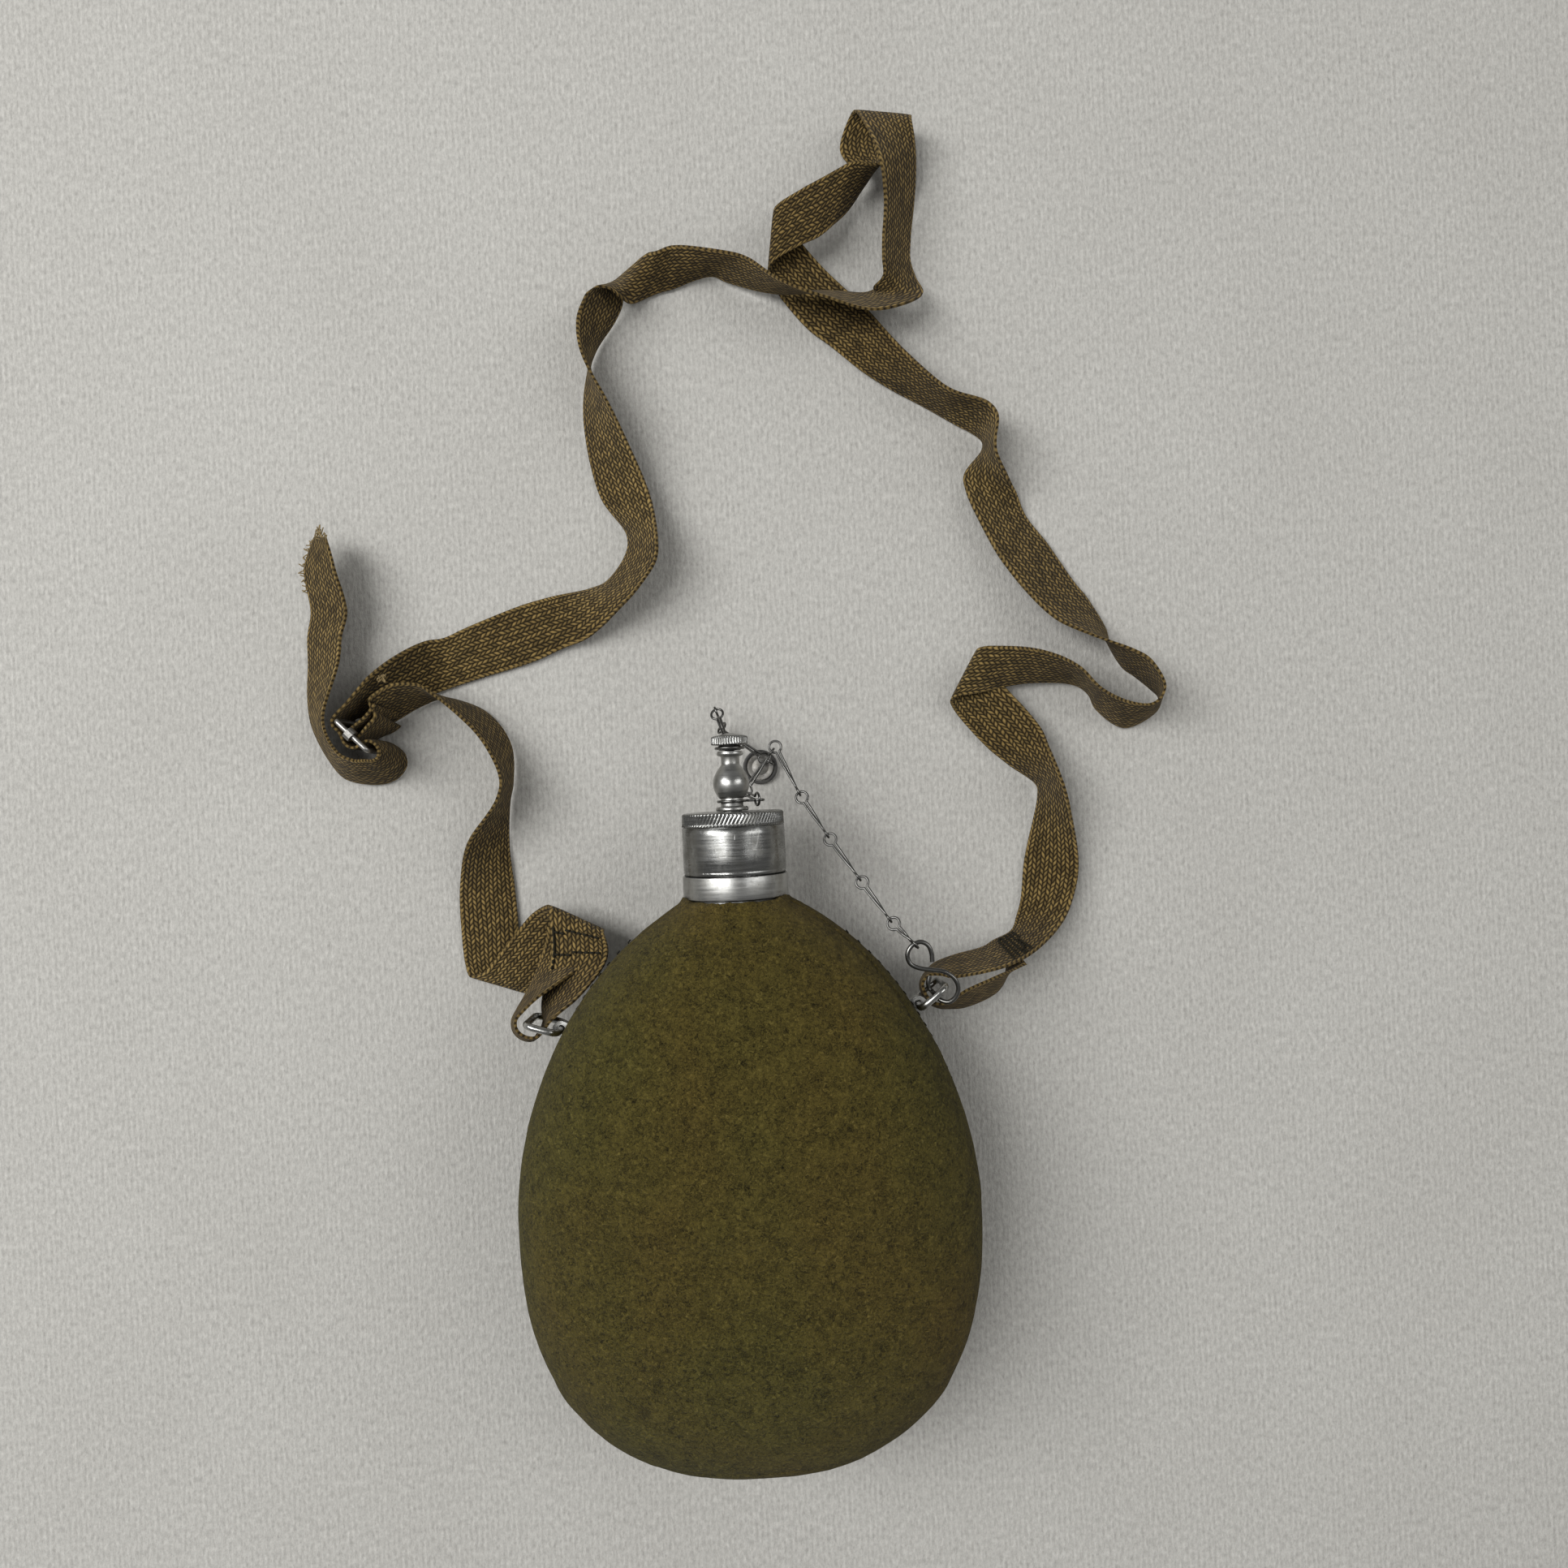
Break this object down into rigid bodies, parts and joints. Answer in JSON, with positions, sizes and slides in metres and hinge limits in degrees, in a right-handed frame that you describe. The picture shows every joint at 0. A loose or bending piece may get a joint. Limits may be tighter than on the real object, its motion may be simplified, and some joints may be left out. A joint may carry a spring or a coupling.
{
  "type": "military canteen",
  "caption": "Pear-shaped felt-covered field flask with a screw cap, drinking spout, retaining chains and a woven carrying strap.",
  "frame": {"origin": "on the flat rest area of the back, under the neck axis", "axes": "+Z out of the front face (up as it lies), +Y along the neck axis from the base to the cap, +X to the right"},
  "size_m": [0.297, 0.4439, 0.0757],
  "materials": {
    "olive_felt": "worn woollen felt",
    "olive_tape": "woven cotton herringbone tape",
    "bare_aluminium": "bare, handled and scratched",
    "bright_wire": "plated steel wire",
    "worn_steel": "dull tarnished plate",
    "seal_rubber": "dark aged rubber"
  },
  "bodies": {
    "flask": {"flask_shell": "bare_aluminium", "cover_front": "olive_felt", "cover_back": "olive_felt", "neck_collar": "bare_aluminium", "lug_right": "bare_aluminium", "lug_left": "bare_aluminium", "strap_long": "olive_tape", "strap_left": "olive_tape", "buckle_frame": "bright_wire", "buckle_bar": "bright_wire"},
    "cap_ring": {"cap_ring": "bright_wire"},
    "cap": {"cap": "bare_aluminium", "cap_seal": "seal_rubber", "spout": "bare_aluminium"},
    "plug_ring": {"plug_ring": "bright_wire"},
    "spout_plug": {"spout_plug": "bare_aluminium"},
    "shoulder_link_right": {"shoulder_link_right": "bare_aluminium"},
    "shoulder_link_left": {"shoulder_link_left": "bare_aluminium"},
    "s_hook": {"s_hook": "bright_wire"},
    "disc": {"disc_rim": "seal_rubber", "disc_face": "worn_steel", "disc_eye": "bright_wire"},
    "chain_link_1": {"chain_link_1": "bright_wire"},
    "chain_link_2": {"chain_link_2": "bright_wire"},
    "chain_link_3": {"chain_link_3": "bright_wire"},
    "chain_link_4": {"chain_link_4": "bright_wire"},
    "chain_link_5": {"chain_link_5": "bright_wire"},
    "chain_link_6": {"chain_link_6": "bright_wire"},
    "chain_link_7": {"chain_link_7": "bright_wire"},
    "plug_link_1": {"plug_link_1": "bright_wire"},
    "plug_link_2": {"plug_link_2": "bright_wire"},
    "plug_link_3": {"plug_link_3": "bright_wire"}
  },
  "joints": [
    {"name": "cap_lift", "type": "slide", "parent": "flask", "child": "cap_ring", "axis": [0, 1, 0], "range_m": [0, 0.0045]},
    {"name": "cap_turn", "type": "hinge", "parent": "cap_ring", "child": "cap", "pos_m": [0, 0.115, 0.037], "axis": [0, 1, 0], "range_deg": [0, 544]},
    {"name": "plug_lift", "type": "slide", "parent": "cap_ring", "child": "plug_ring", "axis": [0, 1, 0], "range_m": [0, 0.004]},
    {"name": "plug_turn", "type": "hinge", "parent": "plug_ring", "child": "spout_plug", "pos_m": [0, 0.145, 0.037], "axis": [0, 1, 0], "range_deg": [0, 1450]},
    {"name": "chain_link_7_swing", "type": "hinge", "parent": "cap_ring", "child": "chain_link_7", "pos_m": [0.0085, 0.1283, 0.0337], "axis": [1, 0, 0], "range_deg": [-17.5, 0]},
    {"name": "shoulder_link_right_swing", "type": "hinge", "parent": "flask", "child": "shoulder_link_right", "pos_m": [0.05695, 0.06019, 0.0315], "axis": [0, 0, 1], "range_deg": [-4, 2]},
    {"name": "shoulder_link_left_swing", "type": "hinge", "parent": "flask", "child": "shoulder_link_left", "pos_m": [-0.0586, 0.05736, 0.0315], "axis": [0, 0, 1], "range_deg": [-3, 3]},
    {"name": "s_hook_rock", "type": "hinge", "parent": "flask", "child": "s_hook", "pos_m": [0.06168, 0.06409, 0.039], "axis": [-0.3224, 0.9114, 0.2556], "range_deg": [-6, 6]},
    {"name": "chain_loop_lift", "type": "hinge", "parent": "flask", "child": "chain_link_5", "pos_m": [0.0218, 0.1295, 0.022], "axis": [0.9793, -0.0994, 0.1765], "range_deg": [0, 15]},
    {"name": "chain_link_6_roll", "type": "hinge", "parent": "chain_link_5", "child": "chain_link_6", "pos_m": [0.0137, 0.1456, 0.019], "axis": [-0.5973, -0.802, 0], "range_deg": [-8, 8]},
    {"name": "plug_link_1_lift", "type": "hinge", "parent": "plug_ring", "child": "plug_link_1", "pos_m": [-0.0003, 0.1452, 0.0296], "axis": [1, 0, 0], "range_deg": [0, 12]},
    {"name": "plug_link_2_lift", "type": "hinge", "parent": "plug_link_1", "child": "plug_link_2", "pos_m": [-0.0047, 0.1583, 0.0207], "axis": [-0.9404, -0.3401, 0], "range_deg": [0, 7]},
    {"name": "plug_link_3_lift", "type": "hinge", "parent": "plug_link_2", "child": "plug_link_3", "pos_m": [-0.0036, 0.1527, 0.0057], "axis": [-0.5662, -0.8243, 0], "range_deg": [0, 15]},
    {"name": "disc_tilt", "type": "hinge", "parent": "plug_link_3", "child": "disc", "pos_m": [0.0116, 0.1414, 0.0039], "axis": [0.5935, 0.8048, 0], "range_deg": [0, 8]},
    {"name": "chain_link_1_roll", "type": "hinge", "parent": "flask", "child": "chain_link_1", "pos_m": [0.05588, 0.08049, 0.0436], "axis": [-0.6313, 0.6682, -0.3936], "range_deg": [-8, 8]},
    {"name": "chain_link_2_roll", "type": "hinge", "parent": "flask", "child": "chain_link_2", "pos_m": [0.0485, 0.0883, 0.039], "axis": [-0.5212, 0.7759, -0.3554], "range_deg": [-8, 8]},
    {"name": "chain_link_3_roll", "type": "hinge", "parent": "flask", "child": "chain_link_3", "pos_m": [0.0397, 0.1014, 0.033], "axis": [-0.5252, 0.7822, -0.3352], "range_deg": [-8, 8]},
    {"name": "chain_link_4_roll", "type": "hinge", "parent": "flask", "child": "chain_link_4", "pos_m": [0.0303, 0.1154, 0.027], "axis": [-0.494, 0.8195, -0.2906], "range_deg": [-8, 8]}
  ],
  "couplings": [
    {"joint": "cap_turn", "follows": "cap_lift", "rad_per_m": 2094.4},
    {"joint": "chain_link_7_swing", "follows": "cap_lift", "rad_per_m": -67.486},
    {"joint": "plug_turn", "follows": "plug_lift", "rad_per_m": 6283.2}
  ]
}
